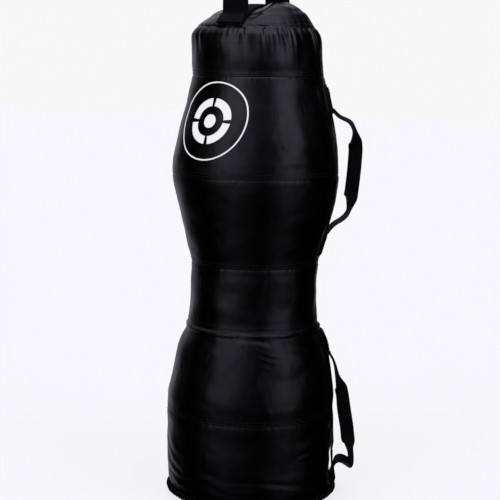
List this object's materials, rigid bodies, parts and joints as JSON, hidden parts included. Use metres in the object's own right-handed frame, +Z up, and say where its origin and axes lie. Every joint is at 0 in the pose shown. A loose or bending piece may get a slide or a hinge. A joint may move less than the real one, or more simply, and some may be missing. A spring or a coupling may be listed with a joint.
{
  "type": "body opponent mannequin",
  "caption": "Free-standing stuffed striking and grappling bag with a waisted body, sewn tiers, laced foot, folding hang loop and swinging side carry handles.",
  "frame": {"origin": "centre of the flat foot, on the floor plane", "axes": "+Z up along the body, -Y towards the front, where the front end of the crown strap is sewn and beside which the chest target is printed; +X to the bag's side seam on the viewer's right"},
  "size_m": [0.3642, 0.3196, 1.006],
  "materials": {
    "vinyl": "gloss",
    "webbing": "satin",
    "cord": "satin",
    "thread": "satin",
    "binding": "matte",
    "print_white": "satin",
    "board": "matte",
    "foam": "matte",
    "liner": "matte",
    "tie_cord": "matte",
    "fill": "matte",
    "sand_bag": "matte",
    "grip_filler": "matte"
  },
  "bodies": {
    "bag": {"crown_panel": "vinyl", "head_front_panel": "vinyl", "head_back_panel": "vinyl", "chest_upper_front_panel": "vinyl", "chest_upper_back_panel": "vinyl", "chest_lower_front_panel": "vinyl", "chest_lower_back_panel": "vinyl", "waist_front_panel": "vinyl", "waist_back_panel": "vinyl", "hip_upper_front_panel": "vinyl", "hip_upper_back_panel": "vinyl", "hip_lower_front_panel": "vinyl", "hip_lower_back_panel": "vinyl", "base_panel": "vinyl", "side_seam_laps": "vinyl", "seam_binding_tape": "binding", "panel_topstitching": "thread", "emblem_ring": "print_white", "emblem_target": "print_white", "base_board": "board", "base_rim_cord": "cord", "base_lace": "cord", "foam_wrap": "foam", "crown_pad": "foam", "fill_liner": "liner", "liner_tie": "tie_cord", "textile_fill": "fill", "ballast_bag": "sand_bag", "crown_strap": "webbing", "loop_root_straps": "webbing", "strap_stitching": "thread", "upper_right_handle_patches": "vinyl", "upper_right_handle_tabs": "webbing", "upper_right_handle_straps": "webbing", "lower_right_handle_patches": "vinyl", "lower_right_handle_tabs": "webbing", "lower_right_handle_straps": "webbing", "upper_left_handle_patches": "vinyl", "upper_left_handle_tabs": "webbing", "upper_left_handle_straps": "webbing", "lower_left_handle_patches": "vinyl", "lower_left_handle_tabs": "webbing", "lower_left_handle_straps": "webbing"},
    "upper_right_handle": {"upper_right_grip_wrap": "webbing", "upper_right_grip_core": "grip_filler"},
    "upper_left_handle": {"upper_left_grip_wrap": "webbing", "upper_left_grip_core": "grip_filler"},
    "lower_right_handle": {"lower_right_grip_wrap": "webbing", "lower_right_grip_core": "grip_filler"},
    "lower_left_handle": {"lower_left_grip_wrap": "webbing", "lower_left_grip_core": "grip_filler"},
    "hang_loop": {"loop_webbing": "webbing"}
  },
  "joints": [
    {"name": "upper_right_handle_swing", "type": "hinge", "parent": "bag", "child": "upper_right_handle", "pos_m": [0.118, 0.06813, 0.60885], "axis": [0.0196, 0.0113, 0.9997], "range_deg": [-50, 50], "deforming": ["upper_right_handle_straps"]},
    {"name": "upper_left_handle_swing", "type": "hinge", "parent": "bag", "child": "upper_left_handle", "pos_m": [-0.118, 0.06813, 0.60885], "axis": [-0.0196, 0.0113, 0.9997], "range_deg": [-50, 50], "deforming": ["upper_left_handle_straps"]},
    {"name": "lower_right_handle_swing", "type": "hinge", "parent": "bag", "child": "lower_right_handle", "pos_m": [0.13259, 0.07655, 0.16285], "axis": [-0.066, -0.0381, 0.9971], "range_deg": [-38, 38], "deforming": ["lower_right_handle_straps"]},
    {"name": "lower_left_handle_swing", "type": "hinge", "parent": "bag", "child": "lower_left_handle", "pos_m": [-0.13259, 0.07655, 0.16285], "axis": [0.066, -0.0381, 0.9971], "range_deg": [-38, 38], "deforming": ["lower_left_handle_straps"]},
    {"name": "hang_loop_fold", "type": "hinge", "parent": "bag", "child": "hang_loop", "pos_m": [0, 0, 0.9095], "axis": [0, 1, 0], "range_deg": [-60, 60], "deforming": ["loop_root_straps"]}
  ]
}
